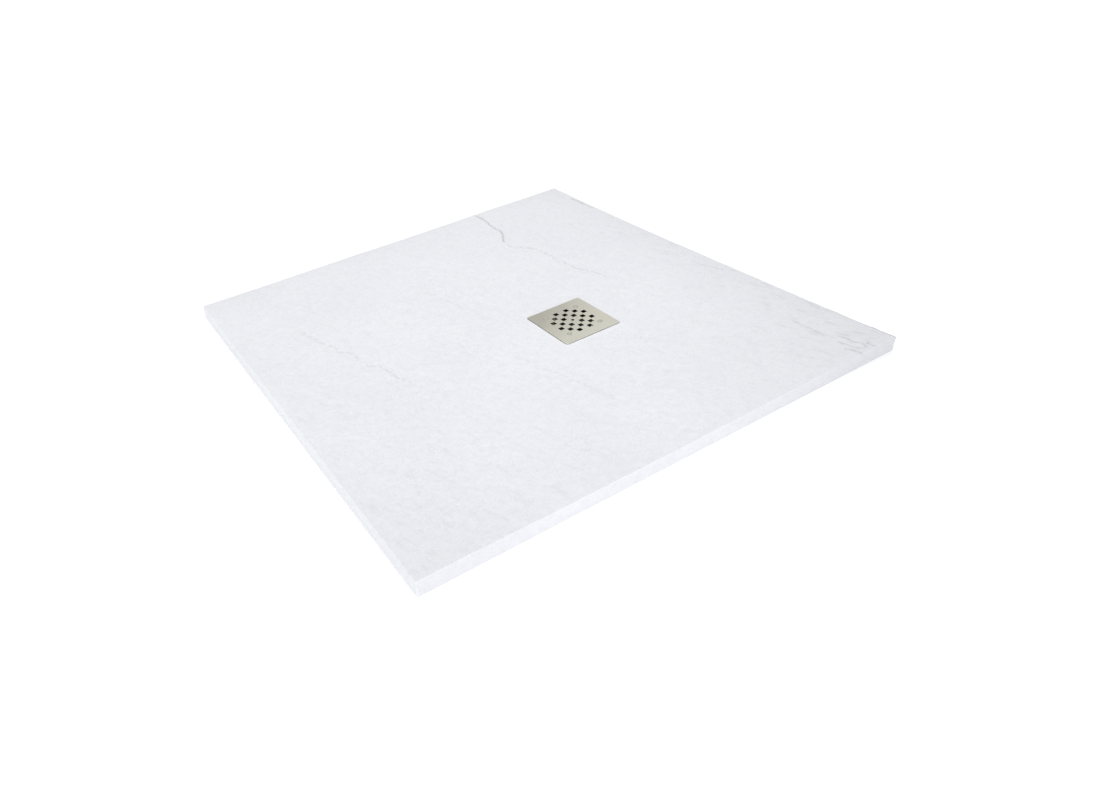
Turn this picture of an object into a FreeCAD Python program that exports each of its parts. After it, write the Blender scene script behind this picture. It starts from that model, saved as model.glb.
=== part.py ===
import FreeCAD, Part
import math
import os
from types import SimpleNamespace

import Sketcher

# Square stone-resin shower tray with a grated, trapped waste.
# Frame: origin at the centre of the tray's underside, +X to the right, +Y to the back, +Z up.
# Every length is in millimetres.

SIZES = {
    # tray
    "tray_width": 900,
    "tray_depth": 900,
    "tray_thickness": 28,
    "tray_corner_radius": 2,
    "edge_bevel": 1.5,
    # dished top, which falls to the drain
    "drain_x": 98,
    "drain_y": -65,
    "bowl_fall": 11,
    "bowl_curve": 1.5,
    "bowl_corner_radius": 300,
    "rim_land": 12,
    # grate and its recess
    "grate_side": 120,
    "grate_corner_radius": 4,
    "grate_thickness": 2,
    "grate_edge_round": 0.4,
    "grate_proud": 0.7,
    "grate_gap": 1,
    "recess_depth": 5,
    "slot_side": 8.8,
    "slot_pitch": 11.5,
    "lift_hole_radius": 3,
    "rivet_head_radius": 4.5,
    "rivet_shank_radius": 2,
    "rivet_head_depth": 1.2,
    "rivet_length": 4.2,
    "rivet_gap": 0.1,
    "foot_radius": 5.5,
    # waste flange, its gaskets and screws
    "waste_hole_radius": 45,
    "flange_radius": 57,
    "flange_thickness": 2.5,
    "flange_bore_radius": 35,
    "flange_gap": 1,
    "skirt_wall": 1.5,
    "skirt_length": 6.5,
    "upper_gasket_thickness": 1.5,
    "lower_gasket_thickness": 6,
    "rebate_depth": 3,
    "rebate_gap": 2,
    "screw_circle_radius": 40.5,
    "screw_radius": 2.5,
    "screw_head_radius": 4.2,
    "screw_head_depth": 1.8,
    "screw_length": 32,
    "driver_socket_radius": 1.6,
    "driver_socket_depth": 1.2,
    "screw_gap": 0.2,
    # trap head and bowl, under a shallow round rebate in the tray's underside
    "plate_radius": 58,
    "plate_thickness": 4,
    "collar_bore_radius": 31,
    "collar_wall": 2.5,
    "collar_length": 15,
    "trap_radius": 52,
    "trap_wall": 2.5,
    "trap_depth": 92,
    "boss_radius": 5.2,
    "boss_length": 17,
    "insert_radius": 3.6,
    "insert_length": 13,
    "insert_cover": 3,
    "insert_gap": 0.1,
    # dip tube and its ring seal
    "dip_rim_radius": 34.5,
    "dip_rim_thickness": 2,
    "dip_neck_gap": 0.4,
    "dip_mouth_radius": 28.5,
    "dip_mouth_depth": 7,
    "dip_well_radius": 25.5,
    "dip_well_depth": 29,
    "dip_taper_length": 8,
    "dip_tube_radius": 22,
    "dip_tube_wall": 2,
    "dip_floor_gap": 8,
    "ring_section_radius": 1.5,
    "ring_gap": 0.08,
    "ring_drop": 11,
    # hair basket and its knob
    "basket_gap": 0.3,
    "basket_rim_thickness": 1.4,
    "basket_wall": 1.5,
    "basket_depth": 18,
    "basket_slot_width": 3,
    "basket_slot_height": 11,
    "basket_slot_lift": 2,
    "basket_hole_radius": 2.2,
    "basket_hole_circle_radius": 14,
    "knob_radius": 7,
    "knob_height": 28,
    "knob_head_height": 4,
    "knob_bevel": 1,
    "knob_stem_radius": 3,
    "knob_pin_radius": 1.8,
    "knob_pin_gap": 0.1,
    # outlet
    "outlet_drop": 34,
    "outlet_passage_radius": 18,
    "socket_radius": 20.2,
    "socket_depth": 25,
    "spigot_radius": 21.8,
    "spigot_reach": 88,
    "thread_radius": 23.9,
    "thread_length": 20,
    "mouth_bevel": 2.4,
    "seal_bore_gap": 0.4,
    "seal_edge_gap": 0.3,
    "seal_collar_thickness": 2.8,
    "washer_thickness": 1.2,
    "nut_gap": 0.1,
    "nut_length": 23,
    "nut_wall": 3.6,
    "nut_end_thickness": 3,
    "nut_end_bore_gap": 0.8,
    "nut_rib_radius": 1.6,
}

COUNTS = {
    "fastener_count": 4,
    "basket_slot_count": 12,
    "basket_hole_count": 8,
    "nut_rib_count": 12,
}

# Shares of the bowl's rim at which the top surface has a contour, from the rim to the recess.
BOWL_CONTOURS = (1.0, 0.86, 0.72, 0.58, 0.44, 0.3, 0.18, 0.1)

# Rows of grate slots: for each step along the diagonal, the steps across it that hold a slot.
SLOT_ROWS = {
    -2: (-1, 0, 1),
    -1: (-2, -1, 0, 1, 2),
    0: (-2, -1, 1, 2),
    1: (-2, -1, 0, 1, 2),
    2: (-1, 0, 1),
}

# Steps of the slot pitch from the centre to a rivet, along X and along Y.
RIVET_STEPS = 3
FULL_TURN = 360

# Slack, in millimetres, for telling which edges lie on a face
TOUCH = 0.01


class Size:
    """A number together with the sheet expression that gives it."""

    def __init__(self, value, text):
        self.value = value
        self.text = text

    def joined(self, other, sign, value):
        return Size(value, f"({self.text} {sign} {other.text})")

    def __add__(self, other):
        other = as_size(other)
        return self.joined(other, "+", self.value + other.value)

    def __sub__(self, other):
        other = as_size(other)
        return self.joined(other, "-", self.value - other.value)

    def __mul__(self, other):
        other = as_size(other)
        return self.joined(other, "*", self.value * other.value)

    def __truediv__(self, other):
        other = as_size(other)
        return self.joined(other, "/", self.value / other.value)

    def __pow__(self, other):
        other = as_size(other)
        return self.joined(other, "^", self.value**other.value)

    def __neg__(self):
        return ZERO - self

    def __rsub__(self, other):
        return as_size(other) - self


def as_size(number):
    """The number as a Size, so that plain numbers and sheet sizes can be mixed."""
    if isinstance(number, Size):
        return number
    return Size(number, f"({number})")


ZERO = Size(0, "0")

os.makedirs("parts", exist_ok=True)
doc = FreeCAD.newDocument("shower_tray")
sheet = doc.addObject("Spreadsheet::Sheet", "Sizes")
for row, (alias, number) in enumerate({**SIZES, **COUNTS}.items(), start=1):
    sheet.set(f"A{row}", alias)
    sheet.set(f"B{row}", str(number))
    sheet.setAlias(f"B{row}", alias)
doc.recompute()

d = SimpleNamespace(
    **{alias: Size(number, f"Sizes.{alias}") for alias, number in {**SIZES, **COUNTS}.items()}
)

# Levels above the underside
bowl_floor = d.tray_thickness - d.bowl_fall
recess_floor = bowl_floor - d.recess_depth
flange_under = recess_floor - d.flange_thickness
flange_seat = flange_under - d.upper_gasket_thickness
grate_top = bowl_floor + d.grate_proud
grate_under = grate_top - d.grate_thickness
plate_top = d.rebate_depth - d.lower_gasket_thickness
plate_under = plate_top - d.plate_thickness
trap_bottom = -d.trap_depth
trap_floor = trap_bottom + d.trap_wall
dip_top = plate_top + d.dip_rim_thickness
dip_ledge = dip_top - d.dip_mouth_depth
dip_well_bottom = dip_top - d.dip_well_depth
dip_bottom = trap_floor + d.dip_floor_gap
basket_bottom = dip_ledge - d.basket_depth
basket_floor = basket_bottom + d.basket_wall
outlet_level = -d.outlet_drop

insert_top = plate_under - d.insert_cover
boss_bottom = plate_under - d.boss_length
ring_level = plate_top - d.ring_drop
knob_top = basket_floor + d.knob_height

# Radii that follow from a neighbour and a clearance
dip_neck_radius = d.collar_bore_radius - d.dip_neck_gap
ring_centre_radius = d.collar_bore_radius - d.ring_gap - d.ring_section_radius
ring_groove_radius = ring_centre_radius - d.ring_section_radius - d.ring_gap
basket_radius = d.dip_well_radius - d.basket_gap
basket_inner_radius = basket_radius - d.basket_wall
seal_bore_radius = d.socket_radius + d.seal_bore_gap
nut_thread_radius = d.thread_radius + d.nut_gap
nut_radius = nut_thread_radius + d.nut_wall
nut_bore_radius = d.socket_radius + d.nut_end_bore_gap
screw_hole_radius = d.screw_radius + d.screw_gap
rivet_place = d.slot_pitch * RIVET_STEPS

# Stations along the outlet, measured from the drain's centre
socket_start = d.spigot_reach - d.socket_depth
seal_end = d.spigot_reach + d.seal_collar_thickness
washer_end = seal_end + d.washer_thickness
nut_inner_end = washer_end + d.nut_gap
nut_end = nut_inner_end + d.nut_end_thickness


def new_body(name):
    """An empty body whose label is the sub-part's name."""
    body = doc.addObject("PartDesign::Body", name)
    body.Label = name
    return body


def place(body, x=ZERO, y=ZERO, turn=0):
    """Bind the body's position to sizes and turn it about the vertical."""
    turned = FreeCAD.Rotation(FreeCAD.Vector(0, 0, 1), turn)
    body.Placement = FreeCAD.Placement(FreeCAD.Vector(x.value, y.value, 0), turned)
    body.setExpression("Placement.Base.x", x.text)
    body.setExpression("Placement.Base.y", y.text)


def place_at_drain(body):
    """Put the body's own origin on the drain's vertical axis."""
    place(body, d.drain_x, d.drain_y)


def origin_feature(body, role):
    """One of the body's own origin planes or axes."""
    return next(f for f in body.Origin.OriginFeatures if f.Role == role)


def new_sketch(body, name, plane="XY_Plane", height=ZERO):
    """A sketch on one of the body's own planes, raised by height along its normal."""
    sketch = body.newObject("Sketcher::SketchObject", name)
    sketch.AttachmentSupport = [(origin_feature(body, plane), "")]
    sketch.MapMode = "FlatFace"
    sketch.setExpression("AttachmentOffset.Base.z", height.text)
    return sketch


def fix_points(sketch, points):
    """Hold each (geometry, end, x, y) point at its two distances from the sketch's origin."""
    for geometry, end, x, y in points:
        for kind, size in (("DistanceX", x), ("DistanceY", y)):
            index = sketch.addConstraint(Sketcher.Constraint(kind, geometry, end, size.value))
            sketch.setExpression(f"Constraints[{index}]", size.text)


def outline(sketch, points):
    """A closed outline of straight lines through points, each a pair of sizes."""
    pairs = [(as_size(x), as_size(y)) for x, y in points]
    first = sketch.GeometryCount
    count = len(pairs)
    lines = []
    joins = []
    for index, (x, y) in enumerate(pairs):
        next_x, next_y = pairs[(index + 1) % count]
        start = FreeCAD.Vector(x.value, y.value, 0)
        end = FreeCAD.Vector(next_x.value, next_y.value, 0)
        lines.append(Part.LineSegment(start, end))
        following = first + (index + 1) % count
        joins.append(Sketcher.Constraint("Coincident", first + index, 2, following, 1))
    sketch.addGeometry(lines, False)
    sketch.addConstraint(joins)
    fix_points(sketch, [(first + index, 1, x, y) for index, (x, y) in enumerate(pairs)])


def rectangle(sketch, x, y, half_x, half_y):
    """A rectangle about (x, y)."""
    outline(
        sketch,
        [
            (x - half_x, y - half_y),
            (x + half_x, y - half_y),
            (x + half_x, y + half_y),
            (x - half_x, y + half_y),
        ],
    )


def rounded_rectangle(sketch, x, y, half_x, half_y, radius):
    """A rectangle about (x, y) whose corners are quarter circles."""
    straight_x = half_x - radius
    straight_y = half_y - radius
    ends = [
        (x - straight_x, y - half_y, x + straight_x, y - half_y),
        (x + half_x, y - straight_y, x + half_x, y + straight_y),
        (x + straight_x, y + half_y, x - straight_x, y + half_y),
        (x - half_x, y + straight_y, x - half_x, y - straight_y),
    ]
    centres = [
        (x + straight_x, y - straight_y),
        (x + straight_x, y + straight_y),
        (x - straight_x, y + straight_y),
        (x - straight_x, y - straight_y),
    ]
    for side, (start_x, start_y, end_x, end_y) in enumerate(ends):
        start = FreeCAD.Vector(start_x.value, start_y.value, 0)
        end = FreeCAD.Vector(end_x.value, end_y.value, 0)
        sketch.addGeometry(Part.LineSegment(start, end), False)
        centre = FreeCAD.Vector(centres[side][0].value, centres[side][1].value, 0)
        ring = Part.Circle(centre, FreeCAD.Vector(0, 0, 1), radius.value)
        quarter = math.pi / 2
        low = (side - 1) * quarter
        sketch.addGeometry(Part.ArcOfCircle(ring, low, low + quarter), False)
    line_count = 2 * len(ends)
    for side, (start_x, start_y, end_x, end_y) in enumerate(ends):
        line = 2 * side
        arc = line + 1
        next_line = (line + 2) % line_count
        fix_points(sketch, [(line, 1, start_x, start_y), (line, 2, end_x, end_y)])
        sketch.addConstraint(Sketcher.Constraint("Tangent", line, 2, arc, 1))
        sketch.addConstraint(Sketcher.Constraint("Coincident", arc, 2, next_line, 1))


def circle(sketch, radius, x=ZERO, y=ZERO):
    """A circle about (x, y)."""
    index = sketch.GeometryCount
    centre = FreeCAD.Vector(x.value, y.value, 0)
    ring = Part.Circle(centre, FreeCAD.Vector(0, 0, 1), radius.value)
    sketch.addGeometry(ring, False)
    fix_points(sketch, [(index, 3, x, y)])
    size = sketch.addConstraint(Sketcher.Constraint("Radius", index, radius.value))
    sketch.setExpression(f"Constraints[{size}]", radius.text)


def axis_line(sketch, start, end):
    """A construction line that a profile turns about."""
    index = sketch.GeometryCount
    line = Part.LineSegment(
        FreeCAD.Vector(start[0].value, start[1].value, 0),
        FreeCAD.Vector(end[0].value, end[1].value, 0),
    )
    sketch.addGeometry(line, True)
    fix_points(sketch, [(index, 1, *start), (index, 2, *end)])


def turned(body, kind, name, points, shift=ZERO):
    """A profile of (radius, level) points turned about a vertical axis, at shift along X."""
    sketch = new_sketch(body, f"{name}_profile", "XZ_Plane")
    outline(sketch, [(as_size(radius) + shift, level) for radius, level in points])
    axis_line(sketch, (shift, ZERO), (shift, as_size(1)))
    return finish_turn(body, kind, name, sketch)


def turned_along_outlet(body, kind, name, points):
    """A profile of (radius, station) points turned about the outlet's axis."""
    sketch = new_sketch(body, f"{name}_profile", "YZ_Plane")
    outline(
        sketch,
        [(as_size(station), outlet_level + radius) for radius, station in points],
    )
    axis_line(sketch, (ZERO, outlet_level), (as_size(1), outlet_level))
    return finish_turn(body, kind, name, sketch)


def finish_turn(body, kind, name, sketch):
    """Turn the sketch's outline a full turn about its construction line."""
    feature = body.newObject(f"PartDesign::{kind}", name)
    feature.Profile = sketch
    feature.ReferenceAxis = (sketch, ["Axis0"])
    feature.Angle = FULL_TURN
    return feature


def pad(body, name, sketch, length):
    """Raise the sketch's outline by length."""
    feature = body.newObject("PartDesign::Pad", name)
    feature.Profile = sketch
    feature.setExpression("Length", length.text)
    return feature


def pocket(body, name, sketch, depth):
    """Cut the sketch's outline down by depth."""
    feature = body.newObject("PartDesign::Pocket", name)
    feature.Profile = sketch
    feature.setExpression("Length", depth.text)
    return feature


def repeat_round(body, name, features, count, axis="Z_Axis"):
    """Repeat features evenly about one of the body's axes."""
    pattern = body.newObject("PartDesign::PolarPattern", name)
    pattern.Originals = features
    pattern.Axis = (origin_feature(body, axis), [""])
    pattern.Angle = FULL_TURN
    pattern.setExpression("Occurrences", count.text)
    body.Tip = pattern
    return pattern


def edges_where(shape, test):
    """The names of the shape's edges that pass the test."""
    return [f"Edge{number}" for number, edge in enumerate(shape.Edges, start=1) if test(edge)]


def build_tray():
    """The slab, its dished top, the grate's recess, the flange's seat, the waste hole and its rebate."""
    body = new_body("tray_body")
    half_x = d.tray_width / 2
    half_y = d.tray_depth / 2
    slab = new_sketch(body, "slab_outline")
    rounded_rectangle(slab, ZERO, ZERO, half_x, half_y, d.tray_corner_radius)
    pad(body, "slab", slab, d.tray_thickness)
    # The dish's rim runs rim_land inside the left and back edges, and the other two edges
    # cut through the dish, as on a tray trimmed to size.
    reach_x = half_x + d.drain_x - d.rim_land
    reach_y = half_y - d.drain_y - d.rim_land
    contours = []
    for number, share in enumerate(BOWL_CONTOURS):
        level = d.tray_thickness - d.bowl_fall * (1 - as_size(share) ** d.bowl_curve)
        contour = new_sketch(body, f"bowl_contour_{number}", height=level)
        corner = d.bowl_corner_radius * share
        rounded_rectangle(contour, d.drain_x, d.drain_y, reach_x * share, reach_y * share, corner)
        contours.append(contour)
    bowl = body.newObject("PartDesign::SubtractiveLoft", "bowl")
    bowl.Profile = contours[0]
    bowl.Sections = contours[1:]
    bowl.Ruled = True
    recess_half = d.grate_side / 2 + d.grate_gap
    recess_corner = d.grate_corner_radius + d.grate_gap
    recess = new_sketch(body, "grate_recess_outline", height=d.tray_thickness)
    rounded_rectangle(recess, d.drain_x, d.drain_y, recess_half, recess_half, recess_corner)
    pocket(body, "grate_recess", recess, d.tray_thickness - recess_floor)
    seat = new_sketch(body, "flange_seat_outline", height=recess_floor)
    circle(seat, d.flange_radius + d.flange_gap, d.drain_x, d.drain_y)
    pocket(body, "flange_seat", seat, recess_floor - flange_seat)
    hole = new_sketch(body, "waste_hole_outline", height=flange_seat)
    circle(hole, d.waste_hole_radius, d.drain_x, d.drain_y)
    pocket(body, "waste_hole", hole, flange_seat)
    rebate = new_sketch(body, "trap_rebate_outline", height=d.rebate_depth)
    circle(rebate, d.plate_radius + d.rebate_gap, d.drain_x, d.drain_y)
    pocket(body, "trap_rebate", rebate, d.rebate_depth)
    doc.recompute()
    bevel_top_edges(body)
    return body


def bevel_top_edges(body):
    """Bevel the edges where the top surface meets the tray's four sides."""
    half_x = d.tray_width.value / 2
    half_y = d.tray_depth.value / 2
    slack = d.tray_corner_radius.value + TOUCH
    lowest = bowl_floor.value

    def is_top_edge(edge):
        box = edge.BoundBox
        on_side = (
            min(abs(box.XMin), abs(box.XMax)) >= half_x - slack
            or min(abs(box.YMin), abs(box.YMax)) >= half_y - slack
        )
        return on_side and box.ZMin > lowest

    base = body.Tip
    bevel = body.newObject("PartDesign::Chamfer", "top_edge_bevel")
    bevel.Base = (base, edges_where(base.Shape, is_top_edge))
    bevel.setExpression("Size", d.edge_bevel.text)
    return bevel


def on_diagonals(sketch, radius):
    """A circle at each of the four rivets, on the plate's diagonals."""
    for x in (rivet_place, -rivet_place):
        for y in (rivet_place, -rivet_place):
            circle(sketch, radius, x, y)


def build_grate_plate():
    """The square plate with diagonal rows of square slots, a lifting hole and rivet seats."""
    body = new_body("grate_plate")
    half_side = d.grate_side / 2
    blank = new_sketch(body, "plate_outline", height=grate_under)
    rounded_rectangle(blank, ZERO, ZERO, half_side, half_side, d.grate_corner_radius)
    pad(body, "plate_blank", blank, d.grate_thickness)
    slots = new_sketch(body, "slot_outlines", height=grate_top)
    half_slot = d.slot_side / 2
    for along, row in SLOT_ROWS.items():
        for across in row:
            slot_x = d.slot_pitch * (along - across)
            slot_y = d.slot_pitch * (-along - across)
            rectangle(slots, slot_x, slot_y, half_slot, half_slot)
    circle(slots, d.lift_hole_radius)
    pocket(body, "slots", slots, d.grate_thickness)
    seats = new_sketch(body, "rivet_seat_outlines", height=grate_top)
    on_diagonals(seats, d.rivet_head_radius + d.rivet_gap)
    pocket(body, "rivet_seats", seats, d.rivet_head_depth)
    holes = new_sketch(body, "rivet_hole_outlines", height=grate_top)
    on_diagonals(holes, d.rivet_shank_radius + d.rivet_gap)
    pocket(body, "rivet_holes", holes, d.grate_thickness)
    doc.recompute()
    reach = half_side.value - TOUCH
    rim_level = grate_top.value - TOUCH

    def is_rim(edge):
        box = edge.BoundBox
        far = max(abs(box.XMin), abs(box.XMax), abs(box.YMin), abs(box.YMax))
        return box.ZMin > rim_level and far > reach

    base = body.Tip
    rounding = body.newObject("PartDesign::Fillet", "rim_round")
    rounding.Base = (base, edges_where(base.Shape, is_rim))
    rounding.setExpression("Radius", d.grate_edge_round.text)
    place_at_drain(body)
    return body


def build_grate_rivets():
    """Four flush rivets, which hold the feet under the grate."""
    body = new_body("grate_rivets")
    heads = new_sketch(body, "head_outlines", height=grate_top - d.rivet_head_depth)
    on_diagonals(heads, d.rivet_head_radius)
    pad(body, "heads", heads, d.rivet_head_depth)
    shanks = new_sketch(body, "shank_outlines", height=grate_top - d.rivet_length)
    on_diagonals(shanks, d.rivet_shank_radius)
    pad(body, "shanks", shanks, d.rivet_length)
    place_at_drain(body)
    return body


def build_grate_foot(name, side_x, side_y):
    """One round foot, which stands on the flange and takes a rivet's shank."""
    body = new_body(name)
    hole_radius = d.rivet_shank_radius + d.rivet_gap
    hole_bottom = grate_top - d.rivet_length - d.rivet_gap
    turned(
        body,
        "Revolution",
        f"{name}_turning",
        [
            (0, recess_floor),
            (d.foot_radius, recess_floor),
            (d.foot_radius, grate_under),
            (hole_radius, grate_under),
            (hole_radius, hole_bottom),
            (0, hole_bottom),
        ],
    )
    place(body, d.drain_x + rivet_place * side_x, d.drain_y + rivet_place * side_y)
    return body


def build_waste_flange():
    """The flange ring, its inner skirt and its countersunk screw holes."""
    body = new_body("waste_flange")
    skirt_radius = d.flange_bore_radius + d.skirt_wall
    skirt_bottom = flange_under - d.skirt_length
    turned(
        body,
        "Revolution",
        "flange_ring",
        [
            (d.flange_bore_radius, recess_floor),
            (d.flange_radius, recess_floor),
            (d.flange_radius, flange_under),
            (skirt_radius, flange_under),
            (skirt_radius, skirt_bottom),
            (d.flange_bore_radius, skirt_bottom),
        ],
    )
    hole = turned(
        body,
        "Groove",
        "flange_screw_hole",
        [
            (0, recess_floor),
            (d.screw_head_radius + d.screw_gap, recess_floor),
            (screw_hole_radius, recess_floor - d.screw_head_depth),
            (screw_hole_radius, flange_under),
            (0, flange_under),
        ],
        shift=d.screw_circle_radius,
    )
    repeat_round(body, "flange_screw_holes", [hole], d.fastener_count)
    place_at_drain(body)
    return body


def build_flange_screws():
    """Four countersunk screws, which clamp the tray between the flange and the trap."""
    body = new_body("flange_screws")
    screw = turned(
        body,
        "Revolution",
        "screw",
        [
            (0, recess_floor - d.driver_socket_depth),
            (d.driver_socket_radius, recess_floor - d.driver_socket_depth),
            (d.driver_socket_radius, recess_floor),
            (d.screw_head_radius, recess_floor),
            (d.screw_radius, recess_floor - d.screw_head_depth),
            (d.screw_radius, recess_floor - d.screw_length),
            (0, recess_floor - d.screw_length),
        ],
        shift=d.screw_circle_radius,
    )
    repeat_round(body, "screws", [screw], d.fastener_count)
    place_at_drain(body)
    return body


def build_ring(name, inner, outer, bottom, top):
    """A flat gasket."""
    body = new_body(name)
    turned(
        body,
        "Revolution",
        f"{name}_turning",
        [(inner, bottom), (outer, bottom), (outer, top), (inner, top)],
    )
    place_at_drain(body)
    return body


def build_trap_head():
    """The trap's top plate, with the collar for the dip tube and the screw bosses."""
    body = new_body("trap_head")
    collar_radius = d.collar_bore_radius + d.collar_wall
    collar_bottom = plate_under - d.collar_length
    turned(
        body,
        "Revolution",
        "plate_and_collar",
        [
            (d.collar_bore_radius, plate_top),
            (d.plate_radius, plate_top),
            (d.plate_radius, plate_under),
            (collar_radius, plate_under),
            (collar_radius, collar_bottom),
            (d.collar_bore_radius, collar_bottom),
        ],
    )
    boss = turned(
        body,
        "Revolution",
        "boss",
        [
            (0, plate_top),
            (d.boss_radius, plate_top),
            (d.boss_radius, boss_bottom),
            (0, boss_bottom),
        ],
        shift=d.screw_circle_radius,
    )
    repeat_round(body, "bosses", [boss], d.fastener_count)
    hole = turned(
        body,
        "Groove",
        "boss_hole",
        [
            (0, plate_top),
            (screw_hole_radius, plate_top),
            (screw_hole_radius, insert_top),
            (d.insert_radius + d.insert_gap, insert_top),
            (d.insert_radius + d.insert_gap, boss_bottom),
            (0, boss_bottom),
        ],
        shift=d.screw_circle_radius,
    )
    repeat_round(body, "boss_holes", [hole], d.fastener_count)
    place_at_drain(body)
    return body


def cut_bowl_cavity(body):
    """Clear the bowl's inside out of a piece of its wall."""
    inner_radius = d.trap_radius - d.trap_wall
    turned(
        body,
        "Groove",
        "bowl_cavity",
        [
            (0, plate_under),
            (inner_radius, plate_under),
            (inner_radius, trap_floor),
            (0, trap_floor),
        ],
    )


def build_trap_bowl():
    """The trap's water bowl, welded under the head, with a hole in its back for the spigot."""
    body = new_body("trap_bowl")
    turned(
        body,
        "Revolution",
        "bowl_blank",
        [
            (0, plate_under),
            (d.trap_radius, plate_under),
            (d.trap_radius, trap_bottom),
            (0, trap_bottom),
        ],
    )
    cut_bowl_cavity(body)
    turned_along_outlet(
        body,
        "Groove",
        "spigot_hole",
        [
            (0, 0),
            (d.spigot_radius, 0),
            (d.spigot_radius, d.trap_radius),
            (0, d.trap_radius),
        ],
    )
    place_at_drain(body)
    return body


def build_outlet_spigot():
    """The outlet's threaded spigot, welded into the bowl's wall, with the pipe's socket in it."""
    body = new_body("outlet_spigot")
    thread_start = d.spigot_reach - d.thread_length
    turned_along_outlet(
        body,
        "Revolution",
        "spigot_blank",
        [
            (0, 0),
            (d.spigot_radius, 0),
            (d.spigot_radius, thread_start),
            (d.thread_radius, thread_start),
            (d.thread_radius, d.spigot_reach),
            (0, d.spigot_reach),
        ],
    )
    cut_bowl_cavity(body)
    turned_along_outlet(
        body,
        "Groove",
        "passage_and_socket",
        [
            (0, 0),
            (d.outlet_passage_radius, 0),
            (d.outlet_passage_radius, socket_start),
            (d.socket_radius, socket_start),
            (d.socket_radius, d.spigot_reach - d.mouth_bevel),
            (d.socket_radius + d.mouth_bevel, d.spigot_reach),
            (0, d.spigot_reach),
        ],
    )
    place_at_drain(body)
    return body


def build_trap_inserts():
    """Four threaded brass inserts in the trap's bosses."""
    body = new_body("trap_inserts")
    bore = d.screw_radius + d.insert_gap
    bottom = insert_top - d.insert_length
    insert = turned(
        body,
        "Revolution",
        "insert",
        [
            (bore, insert_top),
            (d.insert_radius, insert_top),
            (d.insert_radius, bottom),
            (bore, bottom),
        ],
        shift=d.screw_circle_radius,
    )
    repeat_round(body, "inserts", [insert], d.fastener_count)
    place_at_drain(body)
    return body


def build_dip_tube():
    """The lift-out tube that makes the water seal, with a well for the hair basket."""
    body = new_body("dip_tube")
    tube_inner = d.dip_tube_radius - d.dip_tube_wall
    taper_bottom = dip_well_bottom - d.dip_taper_length
    half_groove = d.ring_section_radius + d.ring_gap
    turned(
        body,
        "Revolution",
        "dip_tube_wall_turning",
        [
            (d.dip_mouth_radius, dip_top),
            (d.dip_rim_radius, dip_top),
            (d.dip_rim_radius, plate_top),
            (dip_neck_radius, plate_top),
            (dip_neck_radius, ring_level + half_groove),
            (ring_groove_radius, ring_level + half_groove),
            (ring_groove_radius, ring_level - half_groove),
            (dip_neck_radius, ring_level - half_groove),
            (dip_neck_radius, dip_well_bottom),
            (d.dip_tube_radius, taper_bottom),
            (d.dip_tube_radius, dip_bottom),
            (tube_inner, dip_bottom),
            (tube_inner, taper_bottom),
            (d.dip_well_radius, dip_well_bottom),
            (d.dip_well_radius, dip_ledge),
            (d.dip_mouth_radius, dip_ledge),
        ],
    )
    place_at_drain(body)
    return body


def build_dip_tube_ring():
    """The rubber ring that seals the dip tube in the collar."""
    ring = doc.addObject("Part::Torus", "dip_tube_ring")
    ring.Label = "dip_tube_ring"
    ring.setExpression("Radius1", ring_centre_radius.text)
    ring.setExpression("Radius2", d.ring_section_radius.text)
    ring.setExpression("Placement.Base.x", d.drain_x.text)
    ring.setExpression("Placement.Base.y", d.drain_y.text)
    ring.setExpression("Placement.Base.z", ring_level.text)
    return ring


def build_hair_basket():
    """The basket that catches hair, with slots in its wall and holes in its floor."""
    body = new_body("hair_basket")
    rim_top = dip_ledge + d.basket_rim_thickness
    rim_radius = d.dip_mouth_radius - d.basket_gap
    turned(
        body,
        "Revolution",
        "basket_shell",
        [
            (0, basket_bottom),
            (basket_radius, basket_bottom),
            (basket_radius, dip_ledge),
            (rim_radius, dip_ledge),
            (rim_radius, rim_top),
            (basket_inner_radius, rim_top),
            (basket_inner_radius, basket_floor),
            (0, basket_floor),
        ],
    )
    wall_slot = new_sketch(body, "wall_slot_outline", "XZ_Plane")
    half_height = d.basket_slot_height / 2
    slot_level = basket_floor + d.basket_slot_lift + half_height
    rectangle(wall_slot, ZERO, slot_level, d.basket_slot_width / 2, half_height)
    slot = pocket(body, "wall_slot", wall_slot, d.dip_mouth_radius)
    repeat_round(body, "wall_slots", [slot], d.basket_slot_count)
    floor_hole = new_sketch(body, "floor_hole_outline", height=basket_floor)
    circle(floor_hole, d.basket_hole_radius, d.basket_hole_circle_radius, ZERO)
    hole = pocket(body, "floor_hole", floor_hole, d.basket_wall)
    repeat_round(body, "floor_holes", [hole], d.basket_hole_count)
    pin_hole = new_sketch(body, "pin_hole_outline", height=basket_floor)
    circle(pin_hole, d.knob_pin_radius + d.knob_pin_gap)
    body.Tip = pocket(body, "pin_hole", pin_hole, d.basket_wall)
    place_at_drain(body)
    return body


def build_basket_knob():
    """The knob that the basket is lifted by, pinned through its floor."""
    body = new_body("basket_knob")
    head_under = knob_top - d.knob_head_height
    turned(
        body,
        "Revolution",
        "knob_turning",
        [
            (0, basket_bottom),
            (d.knob_pin_radius, basket_bottom),
            (d.knob_pin_radius, basket_floor),
            (d.knob_stem_radius, basket_floor),
            (d.knob_stem_radius, head_under),
            (d.knob_radius, head_under),
            (d.knob_radius, knob_top - d.knob_bevel),
            (d.knob_radius - d.knob_bevel, knob_top),
            (0, knob_top),
        ],
    )
    place_at_drain(body)
    return body


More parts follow.
